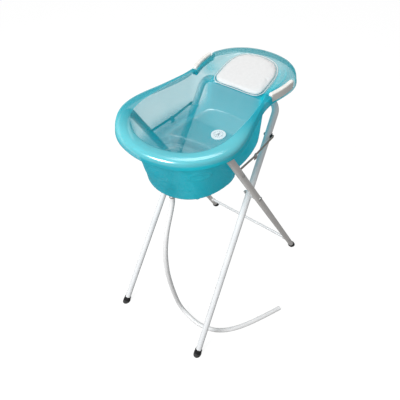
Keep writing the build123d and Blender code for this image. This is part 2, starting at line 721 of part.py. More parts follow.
with BuildPart() as plug:
    with Locations((DRAIN_X, 0, WELL_Z - 5.9)):
        Cone(8.8, 10.8, 17.5)
    z_cylinder(DRAIN_X, 0, PLUG_TOP_R, WELL_Z + 2.65, WELL_Z + 6.05)
    # pull tab; the sketch's own Y points down
    with BuildSketch(y_plane(DRAIN_X, -TAB_T / 2, WELL_Z + 6, 1)):
        with Locations((0, -8)):
            Circle(TAB_R)
            Circle(TAB_HOLE_R, mode=Mode.SUBTRACT)
    extrude(amount=TAB_T)
save_on_tub(plug.part, "drain_plug")

# =======================================================================
# HOSE: pushed on the spout, hangs to the floor and trails to the right
# =======================================================================
HOSE_R, HOSE_BORE = 9.6, 8.02
HOSE_START_Z = WELL_Z - 31          # top end of the hose, on the spout
HOSE_STRAIGHT = 34                  # first corner, below the top end
CORNER_SHARE = 0.47                 # share of the shorter run taken by each arc
CLIP_DROP, CLIP_HEIGHT = 6, 6       # clip position below the top end, clip height
# corners of the hose centre line: x, y, z
HOSE = [(-247, 0, 648), (-276, -1, 575), (-296, -3, 480), (-299, -5, 360), (-286, -8, 240),
        (-270, -11, 140), (-260, -18, 72), (-256, -38, 29), (-259, -82, 10.4),
        (-264, -140, 10.4), (-250, -202, 10.4), (-216, -252, 10.4), (-168, -291, 10.4),
        (-108, -326, 10.4), (-40, -359, 10.4), (36, -393, 10.4)]


def under_drain(z):
    """point on the outlet axis, z in the tub's own axes"""
    return (TUB_LOCATION * Location((DRAIN_X, 0, z))).position


hose_top = under_drain(HOSE_START_Z)
down = (under_drain(WELL_Z - 60) - hose_top).normalized()
corners = [hose_top, hose_top + down * HOSE_STRAIGHT] + [Vector(*p) for p in HOSE]

with BuildPart() as drain_hose:
    # straight runs joined by an arc at every corner, tangent to both
    with BuildLine() as hose_path:
        run_start = corners[0]
        for before, here, after in zip(corners, corners[1:], corners[2:]):
            dir_in, dir_out = (here - before).normalized(), (after - here).normalized()
            half_turn = math.acos(max(-1.0, min(1.0, dir_in.dot(dir_out)))) / 2
            reach = CORNER_SHARE * min((here - before).length, (after - here).length)
            bow = reach / math.tan(half_turn) * (1 / math.cos(half_turn) - 1)
            arc_start, arc_end = here - dir_in * reach, here + dir_out * reach
            Line(run_start, arc_start)
            ThreePointArc(arc_start, here + (dir_out - dir_in).normalized() * bow, arc_end)
            run_start = arc_end
        Line(run_start, corners[-1])
    with BuildSketch(Plane(origin=hose_top, z_dir=down)):
        Circle(HOSE_R)
        Circle(HOSE_BORE, mode=Mode.SUBTRACT)
    sweep(path=hose_path.wire())
save(drain_hose.part, "drain_hose")

with BuildPart() as hose_clip:
    with BuildSketch(Plane(origin=hose_top + down * CLIP_DROP, z_dir=down)):
        Circle(HOSE_R + 1.2)
        Circle(HOSE_R + 0.15, mode=Mode.SUBTRACT)
    extrude(amount=CLIP_HEIGHT)
save(hose_clip.part, "hose_clip")
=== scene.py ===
"""Moulded see-through bath tub with a foam headrest, on a tubular stand with a drain hose.

The tub is modelled in its own axes in millimetres: x runs along the tub from the foot end (-x,
with the deep well and the drain) to the head end (+x, with the sloped dish and the headrest),
y runs across it, and z = 0 is the rim plane. to_scene() tilts it, head end up, and carries it
into the scene, in metres with +z up. The stand and fittings come ready-made from the CAD.
"""
import bpy
import bmesh
import math
import numpy as np
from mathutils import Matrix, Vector
from mathutils.bvhtree import BVHTree


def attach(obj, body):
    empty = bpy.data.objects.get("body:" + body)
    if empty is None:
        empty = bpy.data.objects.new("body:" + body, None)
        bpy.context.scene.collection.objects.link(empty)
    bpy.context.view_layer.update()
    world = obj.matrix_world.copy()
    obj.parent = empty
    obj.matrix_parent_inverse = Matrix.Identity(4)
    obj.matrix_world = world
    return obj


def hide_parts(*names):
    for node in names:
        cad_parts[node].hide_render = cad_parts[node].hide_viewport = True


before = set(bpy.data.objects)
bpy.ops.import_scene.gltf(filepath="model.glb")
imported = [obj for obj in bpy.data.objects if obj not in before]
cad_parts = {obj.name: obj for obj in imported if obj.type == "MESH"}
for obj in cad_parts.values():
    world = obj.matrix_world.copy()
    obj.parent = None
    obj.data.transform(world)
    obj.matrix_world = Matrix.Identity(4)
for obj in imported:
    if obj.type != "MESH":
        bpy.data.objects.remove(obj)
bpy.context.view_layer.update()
scene = bpy.context.scene

# ---------------------------------------------------------------------------
# Dimensions, millimetres in the tub's axes
# ---------------------------------------------------------------------------
# placing of the tub in the scene
SHIFT_X, SHIFT_Y = 24.3075, -65.880
RIM_Z = 1013.0
TILT = math.radians(-3.24)

WALL = 3.0
SEAT_Z, WELL_Z = -186.0, -234.0
LID_Z = 34.0                # the cavity solids run past the rim plane up to here
DISH_X, DISH_Z = 125.0, -49.0   # point the sloped dish floor turns about
DISH_SLOPE = math.radians(13.2)
DRAIN_X, DRAIN_HOLE_R = -248.0, 16.0
DIAL_X = 31.0

# Half outlines (x, y), foot end to head end; the other half is mirrored in y
RIM_IN = [(-312, 0), (-306, 50), (-290, 95), (-262, 132), (-230, 156), (-190, 169), (-150, 174),
          (-100, 173), (-50, 169), (0, 164), (40, 156), (70, 149), (100, 141), (130, 122),
          (147, 76), (152, 0)]
SEAT = [(-297, 0), (-291, 48), (-274, 88), (-246, 120), (-205, 144), (-150, 158), (-100, 163),
        (-50, 164), (0, 162), (40, 153), (70, 144), (94, 132), (112, 107), (122, 76), (126, 40),
        (127, 0)]
WELL_TOP = [(-297, 0), (-291, 48), (-274, 88), (-246, 120), (-205, 144), (-150, 158),
            (-100, 162), (-66, 154), (-46, 128), (-37, 84), (-32, 41), (-31, 0)]
WELL = [(-290, 0), (-284, 45), (-266, 86), (-238, 116), (-200, 139), (-150, 152), (-108, 155),
        (-78, 146), (-60, 108), (-52, 52), (-50, 0)]
DISH = [(40, 0), (42, 60), (50, 104), (70, 130), (105, 142), (150, 148), (200, 150), (240, 144),
        (277, 125), (304, 95), (321, 50), (326, 0)]
DISH_FLOOR = [(40, 0), (42, 50), (52, 84), (72, 104), (110, 112), (160, 114), (210, 114),
              (250, 110), (284, 97), (308, 70), (320, 36), (322, 0)]
RIM_OUT = [(-358, 0), (-352, 55), (-336, 106), (-306, 152), (-262, 190), (-215, 213),
           (-165, 218), (-110, 209), (-60, 194), (0, 179), (50, 169), (100, 168), (150, 177),
           (200, 184), (240, 178), (280, 159), (315, 131), (345, 91), (361, 45), (366, 0)]
PAD = [(131, 0), (130, 40), (131, 78), (139, 97), (158, 103), (200, 104), (240, 102), (272, 93),
       (296, 76), (311, 50), (317, 22), (318, 0)]

HALF_STATIONS = 13      # points a half outline is evened out to
RING_POINTS = 320       # points round one cavity ring
RIM_OUT_POINTS = 900
RINGS_PER_SPAN = 7      # rings between two key rings of a cavity solid

# Flange section: (fraction of the flange width, height above the rim plane)
FLANGE = [(0.035, 1.3), (0.09, 2.3), (0.20, 3.0), (0.30, 3.2), (0.35, 3.25), (0.40, 3.3),
          (0.45, 3.3), (0.50, 3.3), (0.55, 3.25), (0.60, 3.2), (0.76, 2.6), (0.88, 1.0),
          (0.96, -1.8), (1.0, -6.0)]
FLANGE_DOME = 3.4       # extra height of the flange at the foot end
# Skirt below the flange: (height, distance outside the outer outline)
SKIRT = [(-11.0, 0.9), (-16.5, 1.9), (-21.0, 2.7), (-23.5, 3.4)]
NOTCH_Z, NOTCH_SKIRT_Z = -21.5, -22.0   # flange and skirt heights in the grip notches

# Headrest rings: (offset from the outline, height above the dish floor)
PAD_RINGS = [(-8, 1.5), (-4, 2.4), (-2.0, 4.6), (-1.6, 7.0), (-2.0, 9.4), (-4.5, 11.6),
             (-10, 12.6)]
PAD_POINTS = 96
WELT_OFFSET, WELT_HEIGHT, WELT_POINTS, WELT_SIDES = 0.2, 7.2, 180, 8
WELT_R = 0.0013         # metres

# Moulded feet: (radius, depth below the tub's underside), axis to axis
FOOT_PROFILE = [(0, 0.2), (11.0, 0.2), (10.9, 5.5), (10.2, 7.6), (8.6, 8.5), (7.0, 8.3),
                (5.6, 6.0), (0, 5.6)]
FOOT_X, FOOT_Y, FOOT_POINTS = -222, 93, 40


# ---------------------------------------------------------------------------
# Curves and rings
# ---------------------------------------------------------------------------
def to_scene(points):
    """tub axes in mm -> scene in m, for an n x 3 array"""
    points = np.asarray(points, float)
    cos, sin = math.cos(TILT), math.sin(TILT)
    x = points[:, 0] * cos + points[:, 2] * sin - SHIFT_X
    z = -points[:, 0] * sin + points[:, 2] * cos + RIM_Z
    y = points[:, 1] - SHIFT_Y
    return np.stack([x, y, z], 1) / 1000.0


def smooth_step(start, end, x):
    t = np.clip((x - start) / (end - start), 0, 1)
    return t * t * (3 - 2 * t)


def bell(distance, width):
    return math.exp(-(distance / width) ** 2)


def relax(values, passes):
    """average each entry of a closed loop with its neighbours"""
    for _ in range(passes):
        values = 0.5 * values + 0.25 * (np.roll(values, 1, 0) + np.roll(values, -1, 0))
    return values


def spline_closed(points, count):
    """periodic Catmull-Rom curve, resampled to count points at equal spacing"""
    keys = np.asarray(points, float)
    total = len(keys)
    curve = []
    for i in range(total):
        p0, p1, p2, p3 = keys[i - 1], keys[i], keys[(i + 1) % total], keys[(i + 2) % total]
        for t in np.linspace(0, 1, 48, endpoint=False):
            curve.append(0.5 * ((2 * p1) + (-p0 + p2) * t
                                + (2 * p0 - 5 * p1 + 4 * p2 - p3) * t * t
                                + (-p0 + 3 * p1 - 3 * p2 + p3) * t ** 3))
    curve = np.array(curve)
    lengths = np.linalg.norm(np.roll(curve, -1, 0) - curve, axis=1)
    travel = np.concatenate([[0], np.cumsum(lengths)])
    stops = np.linspace(0, travel[-1], count, endpoint=False)
    curve = np.vstack([curve, curve[:1]])
    return np.stack([np.interp(stops, travel, curve[:, axis])
                     for axis in range(curve.shape[1])], 1)


def mirror_closed(half, offset):
    """whole outline from its half, moved outwards by offset"""
    full = list(half) + [(x, -y) for x, y in reversed(half[1:-1])]
    moved = []
    for i, (x, y) in enumerate(full):
        x0, y0 = full[i - 1]
        x1, y1 = full[(i + 1) % len(full)]
        along_x, along_y = x1 - x0, y1 - y0
        length = math.hypot(along_x, along_y)
        moved.append((x - along_y / length * offset, y + along_x / length * offset))
    return moved


def even_half(half):
    """half outline with its points spread evenly along its length"""
    points = np.asarray(half, float)
    steps = np.linalg.norm(np.diff(points, axis=0), axis=1)
    travel = np.concatenate([[0], np.cumsum(steps)])
    return [(float(np.interp(stop, travel, points[:, 0])),
             float(np.interp(stop, travel, points[:, 1])))
            for stop in np.linspace(0, travel[-1], HALF_STATIONS)]


def halfway(half_a, half_b):
    return [(a[0] * 0.5 + b[0] * 0.5, a[1] * 0.5 + b[1] * 0.5) for a, b in zip(half_a, half_b)]


def level_ring(half, offset, z):
    outline = spline_closed(mirror_closed(even_half(half), offset), RING_POINTS)
    return np.column_stack([outline, np.full(RING_POINTS, z)])


def sloped_ring(half, offset, height, count=RING_POINTS):
    """ring parallel to the dish floor, height above it"""
    local = [(x - DISH_X, y) for x, y in half]
    outline = spline_closed(mirror_closed(even_half(local), offset), count)
    cos, sin = math.cos(DISH_SLOPE), math.sin(DISH_SLOPE)
    return np.column_stack([DISH_X + outline[:, 0] * cos - height * sin, outline[:, 1],
                            DISH_Z + outline[:, 0] * sin + height * cos])


def tangent(before, here, after, span_before):
    """tangent at the middle ring, scaled to the span before or after it"""
    a = np.linalg.norm(here - before, axis=1)[:, None] + 1e-6
    b = np.linalg.norm(after - here, axis=1)[:, None] + 1e-6
    slope = ((here - before) / a * b + (after - here) / b * a) / (a + b)
    return slope * (a if span_before else b)


def dense(rings):
    """extra rings between the key rings on a Hermite curve, ends kept"""
    filled = []
    last = len(rings) - 1
    for i in range(last):
        p1, p2 = rings[i], rings[i + 1]
        leave = p2 - p1 if i == 0 else tangent(rings[i - 1], p1, p2, False)
        arrive = p2 - p1 if i + 1 == last else tangent(p1, p2, rings[i + 2], True)
        for t in np.linspace(0, 1, RINGS_PER_SPAN, endpoint=False):
            filled.append((2 * t ** 3 - 3 * t * t + 1) * p1 + (t ** 3 - 2 * t * t + t) * leave
                          + (-2 * t ** 3 + 3 * t * t) * p2 + (t ** 3 - t * t) * arrive)
    filled.append(rings[-1])
    return filled


# ---------------------------------------------------------------------------
# Objects and meshes
# ---------------------------------------------------------------------------
def add_object(name, data):
    made = bpy.data.objects.new(name, data)
    scene.collection.objects.link(made)
    return made


def shade_smooth(mesh):
    mesh.polygons.foreach_set("use_smooth", [True] * len(mesh.polygons))


def mesh_object(name, verts, faces, smooth=True):
    mesh = bpy.data.meshes.new(name)
    mesh.from_pydata([tuple(map(float, v)) for v in verts], [],
                     [tuple(map(int, f)) for f in faces])
    mesh.validate()
    mesh.update()
    if smooth:
        shade_smooth(mesh)
    return add_object(name, mesh)


def mesh_from_bmesh(name, bm):
    mesh = bpy.data.meshes.new(name)
    bm.to_mesh(mesh)
    bm.free()
    return mesh


def get_points(mesh):
    points = np.empty(len(mesh.vertices) * 3)
    mesh.vertices.foreach_get("co", points)
    return points.reshape(-1, 3)


def set_points(mesh, points):
    mesh.vertices.foreach_set("co", points.ravel())
    mesh.update()


def apply_modifier(piece, name, kind, **settings):
    """add one modifier with these settings and bake it into the mesh"""
    modifier = piece.modifiers.new(name, kind)
    for key, value in settings.items():
        setattr(modifier, key, value)
    depsgraph = bpy.context.evaluated_depsgraph_get()
    baked = bpy.data.meshes.new_from_object(piece.evaluated_get(depsgraph),
                                            preserve_all_data_layers=False,
                                            depsgraph=depsgraph)
    old = piece.data
    piece.modifiers.clear()
    piece.data = baked
    bpy.data.meshes.remove(old)
    shade_smooth(baked)


def fix_normals(piece):
    bm = bmesh.new()
    bm.from_mesh(piece.data)
    bmesh.ops.recalc_face_normals(bm, faces=bm.faces)
    bm.to_mesh(piece.data)
    bm.free()


def band_faces(rows, count, wrap=False):
    """quads between closed rows of count points; wrap joins the last row to the first"""
    faces = []
    for row in range(rows if wrap else rows - 1):
        a, b = row * count, (row + 1) % rows * count
        for i in range(count):
            j = (i + 1) % count
            faces.append((a + i, a + j, b + j, b + i))
    return faces


def loft(name, rings, centres=None):
    """closed solid through rings of equal count, with a fan about a centre at each end"""
    count = len(rings[0])
    if centres is None:
        centres = [np.mean(rings[0], axis=0), np.mean(rings[-1], axis=0)]
    verts = [v for ring in rings for v in ring]
    faces = band_faces(len(rings), count)
    first, last_row = len(verts), (len(rings) - 1) * count
    for i in range(count):
        j = (i + 1) % count
        faces.append((first, j, i))
        faces.append((first + 1, last_row + i, last_row + j))
    solid = mesh_object(name, verts + list(centres), faces)
    fix_normals(solid)
    return solid


def finish(piece, material, replaced=None):
    piece.data.materials.append(material)
    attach(piece, "tub")
    if replaced:
        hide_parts(replaced)


# ---------------------------------------------------------------------------
# Shader helpers
# ---------------------------------------------------------------------------
def add_node(tree, kind, inputs=None, **settings):
    """inputs maps a socket's name or index to a value or to the output that feeds it"""
    made = tree.nodes.new("ShaderNode" + kind)
    for key, value in settings.items():
        setattr(made, key, value)
    for key, value in (inputs or {}).items():
        if isinstance(value, bpy.types.NodeSocket):
            tree.links.new(value, made.inputs[key])
        else:
            made.inputs[key].default_value = value
    return made


def node_material(name):
    material = bpy.data.materials.new(name)
    material.use_nodes = True
    material.node_tree.nodes.clear()
    return material, material.node_tree


def mix_shaders(tree, factor, first, second):
    return add_node(tree, "MixShader", {"Fac": factor, 1: first, 2: second}).outputs[0]


def noise(tree, scale, detail, rough=0.5, stretch=(1, 1, 1)):
    coords = add_node(tree, "TexCoord").outputs["Object"]
    mapping = add_node(tree, "Mapping", {"Vector": coords, "Scale": stretch})
    return add_node(tree, "TexNoise", {
        "Scale": scale, "Detail": detail, "Roughness": rough,
        "Vector": mapping.outputs["Vector"]}).outputs["Fac"]


def ramp(tree, factor, stops):
    """stops: (position, rgb) in rising order"""
    made = add_node(tree, "ValToRGB", {"Fac": factor})
    elements = made.color_ramp.elements
    for index in (0, -1):
        elements[index].position = stops[index][0]
        elements[index].color = (*stops[index][1], 1)
    for position, color in stops[1:-1]:
        elements.new(position).color = (*color, 1)
    return made.outputs["Color"]


def map_range(tree, value, gives, between=(0.0, 1.0), **settings):
    return add_node(tree, "MapRange", {
        "From Min": between[0], "From Max": between[1], "To Min": gives[0], "To Max": gives[1],
        "Value": value}, **settings).outputs["Result"]


def bump(tree, height, strength, distance, **normal):
    """normal: an optional Normal= output for the bump to build on"""
    return add_node(tree, "Bump", {"Strength": strength, "Distance": distance,
                                   "Height": height, **normal}).outputs["Normal"]


def surface(name, colors, rough, scale=30.0, fine=600.0, bump_strength=0.15,
            bump_distance=0.0004, metal=0.0, coat=0.0, specular=0.5, stretch=(1, 1, 1),
            edge=None, sheen=0.0):
    """Solid surface. Colour varies over coarse noise (scale), roughness and bump over fine
    noise; edge is an optional colour for worn edges."""
    material, tree = node_material(name)
    coarse_noise = noise(tree, scale, detail=4.0, rough=0.55, stretch=stretch)
    fine_noise = noise(tree, fine, detail=2.0, rough=0.6, stretch=stretch)
    color = ramp(tree, coarse_noise, [(0.3, colors[0]), (0.7, colors[1])])
    if edge:
        pointiness = add_node(tree, "NewGeometry").outputs["Pointiness"]
        worn = ramp(tree, pointiness, [(0.50, (0, 0, 0)), (0.60, (1, 1, 1))])
        color = add_node(tree, "Mix", {"B": (*edge, 1), "Factor": worn, "A": color},
                         data_type="RGBA").outputs["Result"]
    principled = add_node(tree, "BsdfPrincipled", {
        "Base Color": color,
        "Roughness": map_range(tree, fine_noise, gives=rough),
        "Normal": bump(tree, fine_noise, bump_strength, bump_distance),
        "Metallic": metal,
        "Coat Weight": coat,
        "Coat Roughness": 0.15,
        "Specular IOR Level": specular,
        "Sheen Weight": sheen})
    add_node(tree, "OutputMaterial", {"Surface": principled.outputs[0]})
    return material


def tub_material():
    """tinted see-through moulded plastic: mostly clear, faintly milky, glossy skin, with painted
    light and shade set by place
    """
    material, tree = node_material("tub_plastic")

    def calc(operation, a, b):
        return add_node(tree, "Math", {0: a, 1: b}, operation=operation).outputs[0]

    def step(value, between, gives):
        return map_range(tree, value, gives, between, interpolation_type="SMOOTHSTEP")

    cloud = noise(tree, scale=6.0, detail=2.0, rough=0.45)
    flow = noise(tree, scale=9.0, detail=2.0, rough=0.4, stretch=(0.4, 1.0, 2.0))
    fine = noise(tree, scale=450.0, detail=2.0, rough=0.5)
    facing = add_node(tree, "LayerWeight", {"Blend": 0.5}).outputs["Facing"]
    coords = add_node(tree, "TexCoord")
    place = add_node(tree, "SeparateXYZ", {0: coords.outputs["Object"]}).outputs
    normal = add_node(tree, "SeparateXYZ", {0: coords.outputs["Normal"]}).outputs

    # masks by place, in metres, for painted light and shade: the upper +y side wall and the head
    # end are made clearer, letting more white show through, and the milk is painted denser and
    # darker towards the -y side; the real wall is even
    side = step(calc("ABSOLUTE", normal["Y"], 0.0), between=(0.50, 0.85), gives=(0.0, 1.0))
    far = step(place["Y"], between=(0.070, 0.150), gives=(0.0, 1.0))
    above = step(place["Z"], between=(0.845, 0.925), gives=(0.0, 1.0))
    painted_clear_side = calc("MULTIPLY", calc("MULTIPLY", side, far), above)
    head = calc("MULTIPLY",
                step(place["X"], between=(0.10, 0.19), gives=(0.0, 1.0)),
                step(place["Z"], between=(0.930, 0.985), gives=(0.0, 0.85)))
    thin = calc("MAXIMUM", painted_clear_side, head)
    # painted shade: the -y side is made milkier and darker
    near = step(place["Y"], between=(-0.090, 0.010), gives=(0.40, 0.0))
    extra = calc("ADD", calc("SUBTRACT", 1.0, thin), near)
    grazing = map_range(tree, facing, between=(0.1, 1.0), gives=(0.16, 0.36))
    milk_and_painted_shade = calc("ADD", grazing, calc("MULTIPLY", extra, 0.36))

    # painted highlight: the rolled rim of the foot end gets a pale pigment and extra gloss,
    # placed by a mask
    origin = to_scene([(0.0, 0.0, 0.0)])[0]
    rim_height = float(origin[2] + math.tan(TILT) * origin[0])
    untilted = calc("SUBTRACT", place["Z"], calc("MULTIPLY", place["X"], -math.tan(TILT)))
    diagonal = calc("ADD", place["X"], calc("MULTIPLY", place["Y"], 0.5))
    rim = calc("MULTIPLY",
               step(untilted, between=(rim_height - 0.016, rim_height - 0.006),
                    gives=(0.0, 1.0)),
               step(diagonal, between=(-0.27, -0.09), gives=(1.0, 0.0)))

    # tint of one skin: the light crosses more plastic at a grazing angle
    clear = add_node(tree, "BsdfTransparent", {"Color": ramp(tree, facing, [
        (0.0, (0.885, 0.945, 0.952)), (0.6, (0.84, 0.925, 0.935)),
        (0.9, (0.55, 0.82, 0.86)), (1.0, (0.22, 0.60, 0.68))])})

    # milky pigment, with painted shade darkening it where the skin doesn't face sideways and a
    # painted highlight making it pale on the foot-end rim
    pigment = ramp(tree, cloud, [(0.3, (0.005, 0.80, 0.93)), (0.7, (0.008, 0.84, 0.96))])
    # painted shade: skin facing up or along gets a darker pigment than the side walls
    upward_painted_shade = step(calc("ABSOLUTE", normal["Y"], 0.0), between=(0.20, 0.75), gives=(1.0, 0.0))
    upward_painted_shade_mix = add_node(tree, "MixRGB", {"Fac": upward_painted_shade, "Color1": pigment,
                                         "Color2": (0.004, 0.50, 0.60, 1)})
    # painted highlight: pale cyan pigment on the foot-end rim
    rim_painted_highlight_mix = add_node(tree, "MixRGB", {"Fac": rim, "Color1": upward_painted_shade_mix.outputs[0],
                                        "Color2": (0.22, 0.93, 1.0, 1)})
    diffuse = add_node(tree, "BsdfDiffuse", {"Color": rim_painted_highlight_mix.outputs[0]})
    translucent = add_node(tree, "BsdfTranslucent", {"Color": pigment})
    milk = mix_shaders(tree, 0.45, diffuse.outputs[0], translucent.outputs[0])
    # milkiness: more at a grazing angle, plus painted shade and painted light by place
    body = mix_shaders(tree, milk_and_painted_shade, clear.outputs[0], milk)

    # skin reflection: the same from both sides of the wall, strong only at a grazing angle
    waves = bump(tree, flow, strength=0.12, distance=0.0010)
    gloss = add_node(tree, "BsdfGlossy", {
        "Color": (0.80, 0.86, 0.87, 1),
        "Roughness": map_range(tree, flow, gives=(0.16, 0.26)),
        "Normal": bump(tree, fine, strength=0.05, distance=0.0003, Normal=waves)})
    reflection = ramp(tree, facing, [
        (position, (grey, grey, grey)) for position, grey in
        [(0.0, 0.050), (0.5, 0.065), (0.75, 0.12), (0.9, 0.28), (1.0, 0.6)]])
    # painted highlight: extra gloss on the foot-end rim
    skin = mix_shaders(tree, calc("ADD", reflection, calc("MULTIPLY", rim, 0.10)),
                       body, gloss.outputs[0])
    add_node(tree, "OutputMaterial", {"Surface": skin})
    return material


def floor_material():
    """near-white to the camera, dimmer for the light it bounces"""
    material, tree = node_material("floor_paper")
    color = ramp(tree, noise(tree, scale=3.0, detail=2.0),
                 [(0.3, (0.93, 0.93, 0.93)), (0.7, (0.95, 0.95, 0.95))])
    paper = add_node(tree, "BsdfPrincipled", {
        "Base Color": color, "Roughness": 0.9, "Specular IOR Level": 0.1})
    glow = add_node(tree, "Emission", {"Color": (1, 1, 1, 1), "Strength": 1.12})
    seen = mix_shaders(tree, 0.80, paper.outputs[0], glow.outputs[0])
    bounce = add_node(tree, "BsdfDiffuse", {"Color": (0.36, 0.355, 0.35, 1)})
    camera_ray = add_node(tree, "LightPath").outputs["Is Camera Ray"]
    add_node(tree, "OutputMaterial", {
        "Surface": mix_shaders(tree, camera_ray, bounce.outputs[0], seen)})
    return material


# ---------------------------------------------------------------------------
# Materials
# ---------------------------------------------------------------------------
POWDER_COAT = dict(rough=(0.22, 0.36), scale=9.0, fine=900.0, bump_strength=0.10,
                   bump_distance=0.0003, coat=0.35)

materials = {
    "tub": tub_material(),
    "paint": surface(
        "white_powder_coat", colors=((0.83, 0.85, 0.87), (0.90, 0.91, 0.92)), **POWDER_COAT),
    # painted shade: the outer frame's tubes are the same white coat as the rest, coloured darker
    # and warmer to look shaded
    "shaded_paint": surface(
        "white_powder_coat_painted_shade", colors=((0.70, 0.675, 0.655), (0.78, 0.755, 0.735)),
        **POWDER_COAT),
    "rubber": surface(
        "black_rubber", colors=((0.010, 0.010, 0.011), (0.022, 0.022, 0.023)),
        rough=(0.42, 0.62), scale=60.0, fine=900.0, bump_strength=0.25, bump_distance=0.0005,
        specular=0.22, edge=(0.06, 0.06, 0.06)),
    "nylon": surface(
        "black_nylon", colors=((0.012, 0.012, 0.013), (0.028, 0.028, 0.030)),
        rough=(0.35, 0.5), scale=80.0, fine=800.0, bump_strength=0.2),
    "bright": surface(
        "zinc_steel", colors=((0.50, 0.50, 0.50), (0.66, 0.66, 0.65)),
        rough=(0.22, 0.40), scale=120.0, fine=1500.0, bump_strength=0.12,
        bump_distance=0.0002, metal=1.0),
    "stay": surface(
        "stay_steel", colors=((0.30, 0.20, 0.165), (0.42, 0.30, 0.25)),
        rough=(0.30, 0.48), scale=70.0, fine=1200.0, bump_strength=0.2, bump_distance=0.0003,
        metal=0.55, stretch=(0.3, 1, 1), edge=(0.45, 0.40, 0.36)),
    "hose": surface(
        "hose_pvc", colors=((0.84, 0.845, 0.85), (0.91, 0.91, 0.915)),
        rough=(0.28, 0.45), scale=40.0, fine=500.0, bump_strength=0.2, coat=0.15),
    "grip": surface(
        "grip_plastic", colors=((0.86, 0.85, 0.81), (0.93, 0.92, 0.885)),
        rough=(0.25, 0.40), scale=25.0, fine=900.0, bump_strength=0.12, bump_distance=0.0003,
        coat=0.2),
    "disc": surface(
        "disc_plastic", colors=((0.84, 0.86, 0.87), (0.92, 0.93, 0.935)),
        rough=(0.20, 0.35), scale=60.0, fine=900.0, bump_strength=0.08, bump_distance=0.0002,
        coat=0.3),
    "collar": surface(
        "collar_plastic", colors=((0.70, 0.70, 0.70), (0.80, 0.80, 0.80)),
        rough=(0.35, 0.5), scale=60.0, fine=900.0, bump_strength=0.2, bump_distance=0.0003),
    "teal": surface(
        "drain_plastic", colors=((0.02, 0.22, 0.28), (0.03, 0.30, 0.37)),
        rough=(0.25, 0.42), scale=50.0, fine=800.0, bump_distance=0.0003, coat=0.2),
    "plug": surface(
        "plug_rubber", colors=((0.015, 0.20, 0.26), (0.03, 0.27, 0.33)),
        rough=(0.40, 0.58), scale=50.0, fine=800.0, bump_strength=0.2),
    "foam": surface(
        "pad_foam", colors=((0.69, 0.69, 0.69), (0.73, 0.73, 0.73)),
        rough=(0.55, 0.75), scale=90.0, fine=1400.0, bump_strength=0.35, bump_distance=0.0006,
        sheen=0.25),
    "ink": surface(
        "dial_ink", colors=((0.16, 0.20, 0.24), (0.24, 0.28, 0.32)),
        rough=(0.4, 0.6), scale=90.0, fine=900.0, bump_strength=0.1, bump_distance=0.0002),
}

# CAD nodes whose material goes by their full name
NODE_MATERIALS = {
    # painted shade: darker copy of the white coat
    "outer_frame_tube": "shaded_paint",
    "inner_frame_tube": "paint",
    "lower_cross_tube": "paint",
    "stay_clips": "nylon",
    "drain_hose": "hose",
    "handle_screws": "bright",
    "temperature_disc": "disc",
    "disc_dial": "disc",
    "cross_tube_collars": "collar",
    "drain_nut": "collar",
    "pivot_spacers": "collar",
    "drain_fitting": "teal",
    "drain_plug": "plug",
    "drain_gasket": "rubber",
}


def material_key(node):
    if node in NODE_MATERIALS:
        return NODE_MATERIALS[node]
    if "foot" in node:
        return "rubber"
    if node.startswith(("stay_lower", "stay_upper")):
        return "stay"
    if node.startswith("handle_"):
        return "grip"
    return "bright"


def dress_cad_nodes():
    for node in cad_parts:
        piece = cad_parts[node]
        material = materials[material_key(node)]
        if not piece.material_slots:
            piece.data.materials.append(material)
        for slot in piece.material_slots:
            slot.material = material


# ---------------------------------------------------------------------------
# Tub: the cavity is lofted, merged and softened, then the rim grows from it
# ---------------------------------------------------------------------------
def cavity_solids():
    rim, seat = even_half(RIM_IN), even_half(SEAT)
    well_top, well = even_half(WELL_TOP), even_half(WELL)
    return [
        loft("basin", [level_ring(rim, 0, LID_Z)] + dense([
            level_ring(rim, 0, 0),
            level_ring(halfway(rim, seat), 0, SEAT_Z * 0.55),
            level_ring(seat, 0, SEAT_Z + 26),
            level_ring(seat, -3, SEAT_Z + 8),
            level_ring(seat, -12, SEAT_Z)])),
        loft("well", dense([
            level_ring(well_top, -3, SEAT_Z + 34),
            level_ring(well, 0, WELL_Z + 24),
            level_ring(well, -5, WELL_Z + 7),
            level_ring(well, -17, WELL_Z)])),
        loft("dish", [level_ring(DISH, 0, LID_Z)] + dense([
            level_ring(DISH, 0, 0),
            sloped_ring(DISH_FLOOR, 0, 10),
            sloped_ring(DISH_FLOOR, -8, 0)])),
    ]


def merged_cavity():
    """one soft skin round the three solids"""
    solids = cavity_solids()
    bm = bmesh.new()
    for solid in solids:
        bm.from_mesh(solid.data)
    mesh = mesh_from_bmesh("cavity", bm)
    for solid in solids:
        data = solid.data
        bpy.data.objects.remove(solid)
        bpy.data.meshes.remove(data)
    cavity = add_object("cavity", mesh)
    lofted = BVHTree.FromPolygons([v.co.copy() for v in mesh.vertices],
                                  [tuple(p.vertices) for p in mesh.polygons])
    apply_modifier(cavity, "rm", "REMESH", mode="VOXEL", voxel_size=3.8)
    # put the vertices back on the lofted skins, except in the valleys where two of them meet
    for v in cavity.data.vertices:
        nearest, _, _, distance = lofted.find_nearest(v.co)
        if nearest is not None and distance < 1.6:
            v.co = nearest
    apply_modifier(cavity, "sm", "SMOOTH", factor=0.5, iterations=24)
    return cavity


def curve_seat_up(mesh):
    """the seat runs up into the dish on a wide curve"""
    start_x, run, reach, lift = 56, 70.0, 84.0, 28.0
    for v in mesh.vertices:
        x, _, z = v.co
        if x > start_x:
            t = min((x - start_x) / run, 1.0)
            t = t * t * (3 - 2 * t)
            low = min(max(1 - (z - SEAT_Z) / reach, 0.0), 1.0)
            v.co.z = z + lift * t * low * low


